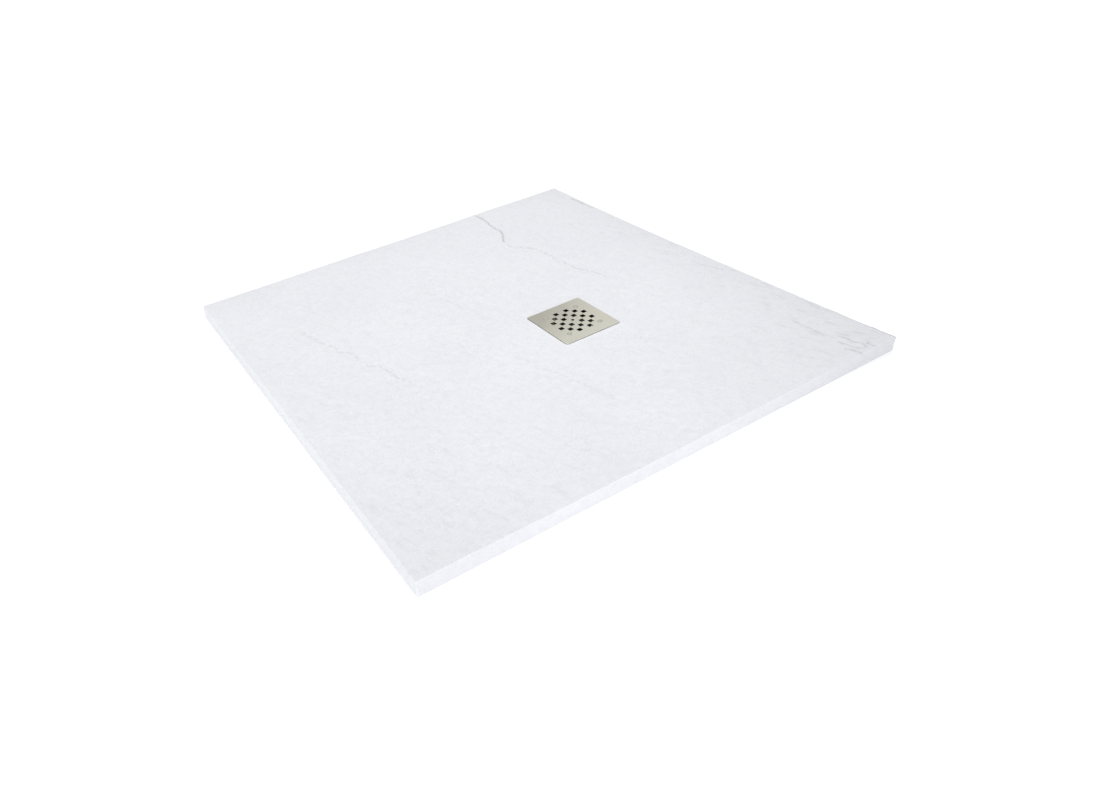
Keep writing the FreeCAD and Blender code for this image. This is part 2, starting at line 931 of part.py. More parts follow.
def build_outlet_seal():
    """The tapered rubber seal between the spigot's mouth and the waste pipe."""
    body = new_body("outlet_seal")
    edge_radius = d.thread_radius - d.seal_edge_gap
    turned_along_outlet(
        body,
        "Revolution",
        "seal_turning",
        [
            (seal_bore_radius, d.spigot_reach - d.mouth_bevel + d.seal_bore_gap),
            (d.socket_radius + d.mouth_bevel, d.spigot_reach),
            (edge_radius, d.spigot_reach),
            (edge_radius, seal_end),
            (seal_bore_radius, seal_end),
        ],
    )
    place_at_drain(body)
    return body


def build_outlet_washer():
    """The slip washer, which lets the nut turn without dragging the seal."""
    body = new_body("outlet_washer")
    edge_radius = d.thread_radius - d.seal_edge_gap
    turned_along_outlet(
        body,
        "Revolution",
        "washer_turning",
        [
            (seal_bore_radius, seal_end),
            (edge_radius, seal_end),
            (edge_radius, washer_end),
            (seal_bore_radius, washer_end),
        ],
    )
    place_at_drain(body)
    return body


def build_outlet_nut():
    """The ribbed nut that squeezes the seal onto the waste pipe."""
    body = new_body("outlet_nut")
    nut_start = nut_end - d.nut_length
    shell = turned_along_outlet(
        body,
        "Revolution",
        "nut_shell",
        [
            (nut_thread_radius, nut_start),
            (nut_radius, nut_start),
            (nut_radius, nut_end),
            (nut_bore_radius, nut_end),
            (nut_bore_radius, nut_inner_end),
            (nut_thread_radius, nut_inner_end),
        ],
    )
    # The plane's normal points to the front, so the sketch is lowered to stand at the nut's end.
    rib_outline = new_sketch(body, "rib_outline", "XZ_Plane", -nut_end)
    circle(rib_outline, d.nut_rib_radius, nut_radius, outlet_level)
    rib = pad(body, "rib", rib_outline, d.nut_length)
    ribs = body.newObject("PartDesign::PolarPattern", "ribs")
    ribs.Originals = [rib]
    ribs.Axis = (shell.Profile[0], ["Axis0"])
    ribs.Angle = FULL_TURN
    ribs.setExpression("Occurrences", d.nut_rib_count.text)
    body.Tip = ribs
    place_at_drain(body)
    return body


def check_document():
    """Stop if any feature failed, or if a cut took nothing away."""
    for item in doc.Objects:
        if "Invalid" in item.State or "Error" in item.State:
            raise RuntimeError(f"{item.Label} failed: {item.State}")
        cuts = item.TypeId in ("PartDesign::Pocket", "PartDesign::Groove", "PartDesign::SubtractiveLoft")
        if cuts and item.Shape.Volume >= item.BaseFeature.Shape.Volume - TOUCH:
            raise RuntimeError(f"{item.Label} cuts nothing")


def write_parts(parts):
    """Write each sub-part to its own file."""
    for part in parts:
        if part.Shape.isNull() or not part.Shape.isValid() or not part.Shape.Solids:
            raise RuntimeError(f"{part.Label} has no sound shape")
        part.Shape.exportStep(f"parts/{part.Label}.step")
        print(f"{part.Label}: {len(part.Shape.Solids)} solids, {part.Shape.Volume:.0f} mm3")


FOOT_SIDES = {
    "grate_foot_front_left": (-1, -1),
    "grate_foot_front_right": (1, -1),
    "grate_foot_back_right": (1, 1),
    "grate_foot_back_left": (-1, 1),
}

sub_parts = [
    build_tray(),
    build_grate_plate(),
    build_grate_rivets(),
    *[build_grate_foot(name, *sides) for name, sides in FOOT_SIDES.items()],
    build_waste_flange(),
    build_flange_screws(),
    build_ring("flange_gasket", d.waste_hole_radius, d.flange_radius, flange_seat, flange_under),
    build_ring("trap_gasket", d.waste_hole_radius, d.plate_radius, plate_top, d.rebate_depth),
    build_trap_head(),
    build_trap_bowl(),
    build_outlet_spigot(),
    build_trap_inserts(),
    build_dip_tube(),
    build_dip_tube_ring(),
    build_hair_basket(),
    build_basket_knob(),
    build_outlet_seal(),
    build_outlet_washer(),
    build_outlet_nut(),
]
doc.recompute()
check_document()
write_parts(sub_parts)
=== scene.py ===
import math

import bpy
import numpy as np
from mathutils import Matrix, Vector


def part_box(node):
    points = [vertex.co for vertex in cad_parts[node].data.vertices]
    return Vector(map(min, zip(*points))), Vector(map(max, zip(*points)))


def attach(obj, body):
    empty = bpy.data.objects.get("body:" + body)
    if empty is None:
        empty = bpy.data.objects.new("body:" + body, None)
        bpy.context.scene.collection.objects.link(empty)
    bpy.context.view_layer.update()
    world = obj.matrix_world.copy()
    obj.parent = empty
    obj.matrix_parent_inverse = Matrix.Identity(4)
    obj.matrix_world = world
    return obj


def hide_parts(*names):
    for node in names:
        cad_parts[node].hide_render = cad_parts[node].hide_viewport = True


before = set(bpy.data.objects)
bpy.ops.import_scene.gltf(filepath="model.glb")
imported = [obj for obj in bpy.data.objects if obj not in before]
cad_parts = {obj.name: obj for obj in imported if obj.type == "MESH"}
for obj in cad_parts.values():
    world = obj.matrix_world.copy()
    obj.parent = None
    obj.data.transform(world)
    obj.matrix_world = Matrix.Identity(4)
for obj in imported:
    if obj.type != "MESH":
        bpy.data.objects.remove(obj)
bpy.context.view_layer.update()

# Shower tray: a white slate-effect slab, its stainless grate and the waste below it.
# The frame is the CAD model's, in metres: +X right, +Y back, +Z up, z = 0 at the tray's underside.

MM = 0.001

tray_low, tray_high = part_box("tray_body")
grate_low, grate_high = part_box("grate_plate")
TOP = tray_high[2]
HALF_X = (tray_high[0] - tray_low[0]) / 2
HALF_Y = (tray_high[1] - tray_low[1]) / 2
DRAIN_X = (grate_low[0] + grate_high[0]) / 2
DRAIN_Y = (grate_low[1] + grate_high[1]) / 2


# ---------------------------------------------------------------- the dished top surface

BOWL_FALL = 11 * MM
BOWL_CURVE = 1.5
BOWL_CORNER = 300 * MM
RIM_LAND = 12 * MM
REACH_X = HALF_X + DRAIN_X - RIM_LAND
REACH_Y = HALF_Y - DRAIN_Y - RIM_LAND
HALVINGS = 30


def bowl_share(x, y):
    """How far out from the drain a point lies, as a share of the bowl's rounded rim."""
    across = np.abs(x - DRAIN_X)
    along = np.abs(y - DRAIN_Y)
    low = np.zeros_like(across)
    high = np.full_like(across, 2.0)
    for _ in range(HALVINGS):
        share = (low + high) / 2
        past_x = np.maximum(across - (REACH_X - BOWL_CORNER) * share, 0)
        past_y = np.maximum(along - (REACH_Y - BOWL_CORNER) * share, 0)
        inside = np.hypot(past_x, past_y) <= BOWL_CORNER * share
        high = np.where(inside, share, high)
        low = np.where(inside, low, share)
    return np.minimum(high, 1.0)


def dish(x, y):
    """Height of the smooth dished surface."""
    return TOP - BOWL_FALL * (1 - bowl_share(x, y) ** BOWL_CURVE)


# ---------------------------------------------------------------- the riven relief

NOISE_CELLS = 1024
NOISE_SPAN = 1.0


def noise_field(seed, shortest, longest, slope=1.0, stretch=1.0):
    """Seamless noise over NOISE_SPAN metres, with waves between two lengths, in units of its spread.

    A stretch above 1 draws its forms out along the slate's grain.
    """
    rng = np.random.default_rng(seed)
    step = np.fft.fftfreq(NOISE_CELLS, NOISE_SPAN / NOISE_CELLS)
    freq_x, freq_y = np.meshgrid(step, step)
    along = freq_x * GRAIN_WAY[0] + freq_y * GRAIN_WAY[1]
    across = freq_x * GRAIN_WAY[1] - freq_y * GRAIN_WAY[0]
    freq = np.hypot(along * stretch, across)
    band = (freq > 1 / longest) & (freq < 1 / shortest)
    power = np.where(band, np.maximum(freq, 1 / NOISE_SPAN) ** -slope, 0)
    phase = rng.uniform(0, 2 * math.pi, freq.shape)
    field = np.fft.ifft2(power * np.exp(1j * phase)).real
    return field / field.std()


def sample(field, x, y):
    """The field's value at points of the tray, by bilinear interpolation."""
    u = (np.asarray(x) / NOISE_SPAN % 1.0) * NOISE_CELLS
    v = (np.asarray(y) / NOISE_SPAN % 1.0) * NOISE_CELLS
    i = np.floor(u).astype(int)
    j = np.floor(v).astype(int)
    a = u - i
    b = v - j
    i1 = (i + 1) % NOISE_CELLS
    j1 = (j + 1) % NOISE_CELLS
    i = i % NOISE_CELLS
    j = j % NOISE_CELLS
    low = field[j, i] * (1 - a) + field[j, i1] * a
    high = field[j1, i] * (1 - a) + field[j1, i1] * a
    return low * (1 - b) + high * b


def smooth_step(value):
    value = np.clip(value, 0, 1)
    return value * value * (3 - 2 * value)


def terraces(field, levels, softness):
    """The field cut into flat layers, with short ramps between them."""
    scaled = field * levels
    base = np.floor(scaled)
    part = scaled - base
    return (base + smooth_step((part - 0.5) / softness + 0.5)) / levels


# The slate's grain runs from back to front, a little to the right.
GRAIN_WAY = (0.26, -0.966)

SWELL = noise_field(11, 0.15, 0.7, 1.6)
LAYERS = noise_field(23, 0.02, 0.4, 1.7, stretch=2.2)
CHIPS = noise_field(37, 0.008, 0.06, 1.2, stretch=1.5)
GRAIN = noise_field(41, 0.0045, 0.016, 0.3, stretch=1.2)
PATCHES = noise_field(53, 0.05, 0.3, 1.2, stretch=1.4)
BREAKS = noise_field(67, 0.008, 0.03, 0.5)
FLAKES = noise_field(71, 0.006, 0.02, 0.3, stretch=1.5)
STRIAE = noise_field(79, 0.007, 0.05, 0.7, stretch=3.5)

SWELL_HEIGHT = 0.1 * MM
LAYER_HEIGHT = 0.25 * MM
LAYER_LEVELS = 1.5
LAYER_SOFTNESS = 0.2
CHIP_HEIGHT = 0.15 * MM
CHIP_LEVELS = 1.1
CHIP_SOFTNESS = 0.5
GRAIN_HEIGHT = 0.072 * MM
ROUGH_LEAST = 0.45
ROUGH_MORE = 0.9
RAGGED = 5 * MM
RELIEF_SINK = 0.8 * MM

# Streaks along the grain, shallow grooves with painted shade in them: some everywhere, and more at
# the right front corner, the left front corner and the right rim.
STRIA_DEPTH = 0.3 * MM
STRIA_SHADE = 0.15
STRIA_START = -0.95
STRIA_RAMP = 0.9
STRIA_MARGIN = 14 * MM
STRIA_EVERYWHERE = 0.25
STRIA_CORNER = 0.75
STRIA_CORNER_REACH = 160 * MM
STRIA_LEFT = 0.2
STRIA_LEFT_REACH = 300 * MM
STRIA_RIM = 0.3
STRIA_RIM_REACH = 60 * MM

# The photographed cracks and ledges, as points in millimetres from the tray's centre. Each has its
# name, points, groove depth in mm, the drop of the ledge on its left (or, below zero, on its right)
# in mm, how dark the painted shade in its groove is, and how broken.
CRACKS = [
    (
        "back_crack",
        [(215, 448), (217, 430), (218, 406), (214, 379), (211, 355), (215, 341), (209, 321),
         (196, 301), (187, 284), (185, 276)],
        1.3, 0.55, 0.46, 0.0,
    ),
    (
        "back_crack_tail",
        [(186, 279), (186, 265), (191, 255), (201, 241), (213, 227), (221, 212), (223, 192),
         (227, 169), (222, 150), (224, 136), (230, 124), (231, 108), (230, 91), (236, 83),
         (243, 70), (249, 49), (253, 36), (257, 23), (262, 8)],
        0.7, 0.4, 0.25, 0.85,
    ),
    (
        "left_crack",
        [(-325, 239), (-320, 199), (-314, 180), (-311, 159), (-299, 134), (-296, 114), (-289, 98),
         (-280, 87), (-277, 65), (-278, 45), (-272, 29), (-260, 25), (-257, 13), (-252, -9),
         (-251, -28), (-246, -41), (-242, -53), (-241, -71), (-237, -80)],
        0.6, 0.4, 0.17, 0.9,
    ),
    (
        "front_crack",
        [(-50, -100), (-44, -140), (-30, -188), (-20, -228), (-12, -258), (1, -318)],
        0.4, 0.3, 0.09, 0.9,
    ),
    (
        "right_curve",
        [(414, -38), (418, -62), (424, -86), (434, -108), (450, -126)],
        0.5, 0.4, 0.16, 0.5,
    ),
    (
        "right_rim_streak_back",
        [(439, -188), (444, -200), (447, -212)],
        0.4, 0.3, 0.18, 0.5,
    ),
    (
        "right_rim_streak_mid",
        [(425, -222), (426, -237), (423, -256)],
        0.4, 0.3, 0.18, 0.5,
    ),
    (
        "right_rim_streak_front",
        [(442, -280), (442, -303), (438, -318), (443, -330)],
        0.5, 0.3, 0.22, 0.5,
    ),
    (
        "corner_streak_long",
        [(379, -300), (375, -328), (377, -346), (375, -366), (378, -378), (376, -394)],
        0.5, 0.35, 0.26, 0.6,
    ),
    (
        "corner_ledge",
        [(389, -388), (392, -403), (392, -419), (396, -433), (391, -444)],
        0.6, 0.5, 0.32, 0.3,
    ),
    (
        "corner_ledge_near",
        [(373, -400), (378, -414), (377, -427), (386, -442)],
        0.6, 0.4, 0.3, 0.4,
    ),
    (
        "corner_ledge_front",
        [(365, -420), (369, -434), (373, -448)],
        0.6, 0.4, 0.34, 0.3,
    ),
    (
        "corner_chip",
        [(404, -430), (402, -439), (405, -447)],
        0.7, 0.4, 0.4, 0.2,
    ),
    (
        "right_edge_crack",
        [(440, 374), (443, 346), (441, 322), (446, 294)],
        0.7, 0.4, 0.45, 0.35,
    ),
    (
        "back_left_ledge",
        [(-272, 410), (-250, 402), (-234, 394), (-222, 380), (-210, 354)],
        0.0, 0.6, 0.0, 0.2,
    ),
    (
        "middle_ledge",
        [(-62, 208), (-56, 190), (-50, 172), (-42, 148), (-38, 122), (-34, 96)],
        0.35, 0.35, 0.12, 0.8,
    ),
]

# How a crack wanders: its steps, and how far they are thrown aside in a whole or a broken crack.
ROUTE_SEED = 101
ROUTE_STEP = 5 * MM
ROUTE_WANDER = 1.9 * MM
WANDER_WHOLE = 0.15
WANDER_BROKEN = 0.85

# How a crack looks: the shares of its length over which it starts and ends, its gaps, and its width.
FADE_IN = 0.04
FADE_OUT = 0.12
GAP_START = -0.55
GAP_RAMP = 0.9
GROOVE_REACH = 1.5 * MM
WIDTH_LEAST = 0.5
WIDTH_PER_DEPTH = 0.4
WIDTH_VARIATION = 0.6
WIDTH_SHIFT = 0.3
LEDGE_REACH = 14 * MM
CRACK_MARGIN = 45 * MM

# Small flakes broken off beside it.
FLAKE_REACH = 5 * MM
FLAKE_DEPTH = 0.35 * MM
FLAKE_START = 0.7
FLAKE_RAMP = 0.5
FLAKE_SHADE = 0.6


def ragged_route(points, broken, seed):
    """The crack's points joined at short steps, each thrown to one side, more so in a broken crack."""
    rng = np.random.default_rng(seed)
    corners = np.array(points) * MM
    route = [corners[0]]
    for start, end in zip(corners[:-1], corners[1:]):
        length = np.hypot(*(end - start))
        way = (end - start) / length
        side = np.array([-way[1], way[0]])
        count = max(int(round(length / ROUTE_STEP)), 1)
        for number in range(1, count + 1):
            wander = ROUTE_WANDER * (WANDER_WHOLE + WANDER_BROKEN * broken)
            throw = rng.normal() * wander * (number < count)
            route.append(start + (end - start) * number / count + side * throw)
    return np.array(route)


ROUTES = [
    ragged_route(points, broken, ROUTE_SEED + number)
    for number, (_, points, _, _, _, broken) in enumerate(CRACKS)
]


def nearest_on_route(route, x, y):
    """For each point: the route's nearest point, its distance, its side and its share of the way."""
    lengths = np.hypot(*np.diff(route, axis=0).T)
    total = lengths.sum()
    away = np.full_like(x, 1.0)
    near_x = np.zeros_like(x)
    near_y = np.zeros_like(x)
    side = np.zeros_like(x)
    share = np.zeros_like(x)
    run = 0.0
    for start, end, length in zip(route[:-1], route[1:], lengths):
        way = (end - start) / length
        t = np.clip((x - start[0]) * way[0] + (y - start[1]) * way[1], 0, length)
        on_x = start[0] + way[0] * t
        on_y = start[1] + way[1] * t
        gap = np.hypot(x - on_x, y - on_y)
        closer = gap < away
        away = np.where(closer, gap, away)
        near_x = np.where(closer, on_x, near_x)
        near_y = np.where(closer, on_y, near_y)
        turn = way[0] * (y - on_y) - way[1] * (x - on_x)
        side = np.where(closer, np.sign(turn), side)
        share = np.where(closer, (run + t) / total, share)
        run += length
    return near_x, near_y, away, side, share


def near_route(route, x, y):
    """The indices of the points that a crack can reach."""
    low = route.min(axis=0) - CRACK_MARGIN
    high = route.max(axis=0) + CRACK_MARGIN
    return np.flatnonzero((x > low[0]) & (x < high[0]) & (y > low[1]) & (y < high[1]))


def snap_to_cracks(x, y, reach):
    """Slide the grid's points that lie beside a crack onto it, so that its groove is unbroken."""
    x = x.copy()
    y = y.copy()
    for (_, _, depth, _, _, _), route in zip(CRACKS, ROUTES):
        chosen = near_route(route, x, y)
        near_x, near_y, away, _, _ = nearest_on_route(route, x[chosen], y[chosen])
        beside = away < reach * (depth > 0)
        x[chosen[beside]] = near_x[beside]
        y[chosen[beside]] = near_y[beside]
    return x, y


def crack_relief(x, y):
    """Height change and painted shade of the cracks, each a groove along the foot of a low ledge."""
    height = np.zeros_like(x)
    dark = np.zeros_like(x)
    for (_, _, depth, drop, shade, broken), route in zip(CRACKS, ROUTES):
        chosen = near_route(route, x, y)
        px = x[chosen]
        py = y[chosen]
        _, _, away, side, share = nearest_on_route(route, px, py)
        fade = smooth_step(share / FADE_IN) * smooth_step((1 - share) / FADE_OUT)
        breaks = sample(BREAKS, px, py)
        gaps = smooth_step((breaks - GAP_START) / GAP_RAMP)
        whole = fade * (1 - broken + broken * gaps)
        spread = WIDTH_VARIATION * smooth_step(breaks / 2 + WIDTH_SHIFT)
        width = GROOVE_REACH * (WIDTH_LEAST + WIDTH_PER_DEPTH * depth + spread)
        groove = np.exp(-((away / width) ** 2))
        ledge = np.exp(-away / LEDGE_REACH) * (side * np.sign(drop) > 0)
        loose = smooth_step((sample(FLAKES, px, py) - FLAKE_START) / FLAKE_RAMP)
        flake = np.exp(-((away / FLAKE_REACH) ** 2)) * loose * fade * (depth > 0)
        height[chosen] -= (depth * groove + abs(drop) * ledge) * MM * whole + FLAKE_DEPTH * flake
        # Painted shade in each groove and in the flakes beside it.
        painted_crevice_shade = np.maximum(groove * whole, FLAKE_SHADE * flake)
        dark[chosen] = np.maximum(dark[chosen], shade * painted_crevice_shade)
    return height, dark


RIGHT_BAND = 0.035
RIGHT_BAND_REACH = 45 * MM
BACK_BAND = 0.02
BACK_BAND_REACH = 35 * MM
LINE_START = -250 * MM
LINE_RAMP = 150 * MM
LINE_REACH = 2.6 * MM
LINE_SOFTNESS = 1.2 * MM
LINE_SHADE = 0.75
LINE_VARIATION = 0.15


def rim_shade(x, y):
    """The faint grey bands along the right and back rims, and the dark line on the right edge."""
    right = HALF_X - x
    back = HALF_Y - y
    band = RIGHT_BAND * np.exp(-((right / RIGHT_BAND_REACH) ** 2))
    band += BACK_BAND * np.exp(-((back / BACK_BAND_REACH) ** 2))
    line = smooth_step((LINE_START - y) / LINE_RAMP) * smooth_step((LINE_REACH - right) / LINE_SOFTNESS)
    uneven = 1 - LINE_VARIATION + LINE_VARIATION * np.clip(sample(BREAKS, x, y), -1, 1)
    return band + LINE_SHADE * line * uneven


def relief(x, y):
    """How far the riven surface lies below the smooth dish, as a negative height, and its darkness:
    painted shade and rim bands.
    """
    slip = sample(CHIPS, x, y) * RAGGED / 3
    layers = terraces(sample(LAYERS, x + slip, y + slip), LAYER_LEVELS, LAYER_SOFTNESS)
    chips = terraces(sample(CHIPS, x, y), CHIP_LEVELS, CHIP_SOFTNESS)
    rough = ROUGH_LEAST + ROUGH_MORE * smooth_step((sample(PATCHES, x, y) + 1.0) / 2.0)
    height = SWELL_HEIGHT * sample(SWELL, x, y) + LAYER_HEIGHT * layers
    height += (CHIP_HEIGHT * chips + GRAIN_HEIGHT * sample(GRAIN, x, y)) * rough
    corner = np.exp(-((np.hypot(x - HALF_X, y + HALF_Y) / STRIA_CORNER_REACH) ** 2))
    left = np.exp(-((np.hypot(x + HALF_X, y + HALF_Y) / STRIA_LEFT_REACH) ** 2))
    rim = np.exp((x - HALF_X) / STRIA_RIM_REACH)
    amount = STRIA_EVERYWHERE + STRIA_CORNER * corner + STRIA_LEFT * left + STRIA_RIM * rim
    inward = np.minimum(HALF_X - np.abs(x), HALF_Y - np.abs(y))
    amount = amount * smooth_step(inward / STRIA_MARGIN)
    stria = smooth_step((STRIA_START - sample(STRIAE, x, y)) / STRIA_RAMP) * amount
    crack_height, dark = crack_relief(x, y)
    height = np.minimum(height - RELIEF_SINK, 0) + crack_height - STRIA_DEPTH * stria
    return height, np.maximum(dark, STRIA_SHADE * stria) + rim_shade(x, y)


# ---------------------------------------------------------------- tray mesh

RECESS_GAP = 0.6 * MM
RECESS_HALF = (grate_high[0] - grate_low[0]) / 2 + RECESS_GAP
RECESS_CORNER = 5 * MM
RECESS_ROUND = 0.7 * MM

# Beside the recess the relief is calmer, so that the grate sits evenly.
CALM_REACH = 10 * MM
CALM_SHARE = 0.35

# The grid's lines: their step, and their distances in mm from an edge and from the recess.
GRID_STEP = 2.0 * MM
EDGE_LINES = [0.0, 0.15, 0.4, 0.8, 1.3, 2.0]
LIP_LINES = [0.15, 0.4, 0.8, 1.3, 2.0]
SNAP_SHARE = 0.55
CORNER_ROUND = 2.0 * MM
EDGE_ROUND = 1.5 * MM
ON_EDGE = 1e-6

# The sides: rows of points down each, drawn in unevenly between the top and the foot.
WALL_ROWS = 9
WALL_DRAFT = 0.25 * MM
WALL_MIDDLE = 0.5
WALL_WAVE = 0.28
WALL_LIMIT = 1.7
WALL_ALONG = 0.7
WALL_DOWN = 3
WALL_SHIFT = 0.4
WALL_FOOT = 1.2


def grid_lines(half, drain):
    """Positions of the grid's lines from one side to the other, closer together at every edge."""
    edge = np.array(EDGE_LINES) * MM
    lip = RECESS_HALF + np.array(LIP_LINES) * MM
    close = [-half + edge, drain - lip[::-1], drain + lip, half - edge[::-1]]
    lines = [close[0]]
    for before, after in zip(close[:-1], close[1:]):
        start = before[-1]
        end = after[0]
        count = int(round((end - start) / GRID_STEP))
        lines.append(np.linspace(start, end, count + 1)[1:-1])
        lines.append(after)
    return np.concatenate(lines)


def round_corners(x, y):
    """Pull points in the square corners onto rounded ones."""
    u = np.maximum(np.abs(x) - (HALF_X - CORNER_ROUND), 0)
    v = np.maximum(np.abs(y) - (HALF_Y - CORNER_ROUND), 0)
    both = (u > 0) & (v > 0)
    ring = np.maximum(u, v)
    length = np.where(both, np.hypot(u, v), 1)
    new_x = np.sign(x) * (HALF_X - CORNER_ROUND + u / length * ring)
    new_y = np.sign(y) * (HALF_Y - CORNER_ROUND + v / length * ring)
    return np.where(both, new_x, x), np.where(both, new_y, y)


def edge_distance(x, y):
    """Distance in from the tray's rounded outline."""
    u = np.abs(x) - (HALF_X - CORNER_ROUND)
    v = np.abs(y) - (HALF_Y - CORNER_ROUND)
    outside = np.hypot(np.maximum(u, 0), np.maximum(v, 0))
    inside = np.minimum(np.maximum(u, v), 0)
    return CORNER_ROUND - (outside + inside)


def recess_distance(x, y, half, corner):
    """Distance out from the grate's recess."""
    u = np.abs(x - DRAIN_X) - (half - corner)
    v = np.abs(y - DRAIN_Y) - (half - corner)
    return np.hypot(np.maximum(u, 0), np.maximum(v, 0)) + np.minimum(np.maximum(u, v), 0) - corner


def quarter_drop(distance, radius):
    """Fall of a quarter-round edge at a distance in from it."""
    inward = np.clip(radius - distance, 0, radius)
    return radius - np.sqrt(radius**2 - inward**2)


def top_surface(x, y):
    """Height and darkness of the finished top surface."""
    height, dark = relief(x, y)
    from_recess = recess_distance(x, y, RECESS_HALF, RECESS_CORNER)
    calm = smooth_step(from_recess / CALM_REACH)
    height = height * (CALM_SHARE + (1 - CALM_SHARE) * calm)
    height = dish(x, y) + height
    height -= quarter_drop(edge_distance(x, y), EDGE_ROUND)
    height -= quarter_drop(from_recess, RECESS_ROUND)
    return height, dark


def build_tray_mesh():
    """The closed slab: riven top, four uneven sides and a flat underside."""
    lines_x = grid_lines(HALF_X, DRAIN_X)
    lines_y = grid_lines(HALF_Y, DRAIN_Y)
    nx = len(lines_x)
    ny = len(lines_y)
    grid_x, grid_y = np.meshgrid(lines_x, lines_y)
    flat_x, flat_y = round_corners(grid_x.ravel(), grid_y.ravel())
    inside = edge_distance(flat_x, flat_y) > EDGE_LINES[-1] * MM
    snapped_x, snapped_y = snap_to_cracks(flat_x, flat_y, SNAP_SHARE * GRID_STEP)
    flat_x = np.where(inside, snapped_x, flat_x)
    flat_y = np.where(inside, snapped_y, flat_y)
    height, _ = top_surface(flat_x, flat_y)
    index = np.arange(nx * ny).reshape(ny, nx)
    quads = np.stack([index[:-1, :-1], index[:-1, 1:], index[1:, 1:], index[1:, :-1]], -1)
    quads = quads.reshape(-1, 4)
    border = np.concatenate([index[0, :-1], index[:-1, -1], index[-1, :0:-1], index[:0:-1, 0]])
    points = [np.stack([flat_x, flat_y, height], -1)]
    faces = [quads]
    rim = np.stack([flat_x[border], flat_y[border], height[border]], -1)
    outward = np.stack(
        [
            np.where(np.abs(rim[:, 0]) > HALF_X - ON_EDGE, np.sign(rim[:, 0]), 0),
            np.where(np.abs(rim[:, 1]) > HALF_Y - ON_EDGE, np.sign(rim[:, 1]), 0),
        ],
        -1,
    )
    along = rim[:, 0] + rim[:, 1]
    previous = border
    first = nx * ny
    for row in range(1, WALL_ROWS + 1):
        share = row / WALL_ROWS
        level = rim[:, 2] * (1 - share)
        wave = sample(CHIPS, along * WALL_ALONG, level * WALL_DOWN + WALL_SHIFT)
        wave = WALL_MIDDLE + WALL_WAVE * np.clip(wave, -WALL_LIMIT, WALL_LIMIT)
        inset = WALL_DRAFT * wave * math.sin(math.pi * min(share * WALL_FOOT, 1))
        ring = rim.copy()
        ring[:, :2] -= outward * inset[:, None]
        ring[:, 2] = level
        points.append(ring)
        current = first + np.arange(len(border))
        first += len(border)
        following = np.roll(np.arange(len(border)), -1)
        faces.append(np.stack([previous, current, current[following], previous[following]], -1))
        previous = current
    vertices = np.concatenate(points)
    all_faces = np.concatenate(faces).tolist()
    all_faces.append(previous[::-1].tolist())
    mesh = bpy.data.meshes.new("tray_slab")
    mesh.from_pydata(vertices.tolist(), [], all_faces)
    mesh.update()
    return mesh


def link(obj):
    bpy.context.scene.collection.objects.link(obj)
    return obj


def prism(name, outline, low, high):
    """A closed upright prism over an outline of (x, y) points."""
    count = len(outline)
    vertices = [(x, y, low) for x, y in outline] + [(x, y, high) for x, y in outline]
    faces = [list(range(count))[::-1], list(range(count, 2 * count))]
    for i in range(count):
        j = (i + 1) % count
        faces.append([i, j, count + j, count + i])
    mesh = bpy.data.meshes.new(name)
    mesh.from_pydata(vertices, [], faces)
    mesh.update()
    return link(bpy.data.objects.new(name, mesh))


CORNER_STEPS = 8
RING_STEPS = 96


def rounded_square(half, corner):
    """Outline of the grate's recess."""
    points = []
    for quarter in range(4):
        cx = DRAIN_X + (half - corner) * (1 if quarter in (0, 3) else -1)
        cy = DRAIN_Y + (half - corner) * (1 if quarter in (0, 1) else -1)
        for step in range(CORNER_STEPS + 1):
            angle = math.pi / 2 * (quarter + step / CORNER_STEPS)
            points.append((cx + corner * math.cos(angle), cy + corner * math.sin(angle)))
    return points


def ring_of(radius):
    """Points round the drain's centre."""
    angles = [2 * math.pi * i / RING_STEPS for i in range(RING_STEPS)]
    return [(DRAIN_X + radius * math.cos(a), DRAIN_Y + radius * math.sin(a)) for a in angles]


flange_low, flange_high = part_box("waste_flange")
gasket_low, gasket_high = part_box("flange_gasket")
seal_low, seal_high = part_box("trap_gasket")
RECESS_FLOOR = flange_high[2]
FLANGE_SEAT = gasket_low[2]
FLANGE_GAP = 1 * MM
FLANGE_POCKET = (flange_high[0] - flange_low[0]) / 2 + FLANGE_GAP
WASTE_HOLE = 45 * MM
REBATE_GAP = 2 * MM
REBATE_RADIUS = (seal_high[0] - seal_low[0]) / 2 + REBATE_GAP
REBATE_TOP = seal_high[2]
CUT_OVERRUN = 10 * MM

# The cracks' painted shade ends a little way down the slab, and edges sharper than this are creased.
SHADE_DEPTH = 9 * MM
SHADE_FADE = 7 * MM
SHARP_ANGLE = math.radians(38)


def cut(obj, cutter):
    """Take the cutter's volume out of the object."""
    modifier = obj.modifiers.new("cut", "BOOLEAN")
    modifier.operation = "DIFFERENCE"
    modifier.solver = "EXACT"
    modifier.object = cutter
    with bpy.context.temp_override(object=obj, active_object=obj, selected_objects=[obj]):
        bpy.ops.object.modifier_apply(modifier=modifier.name)
    bpy.data.objects.remove(cutter)


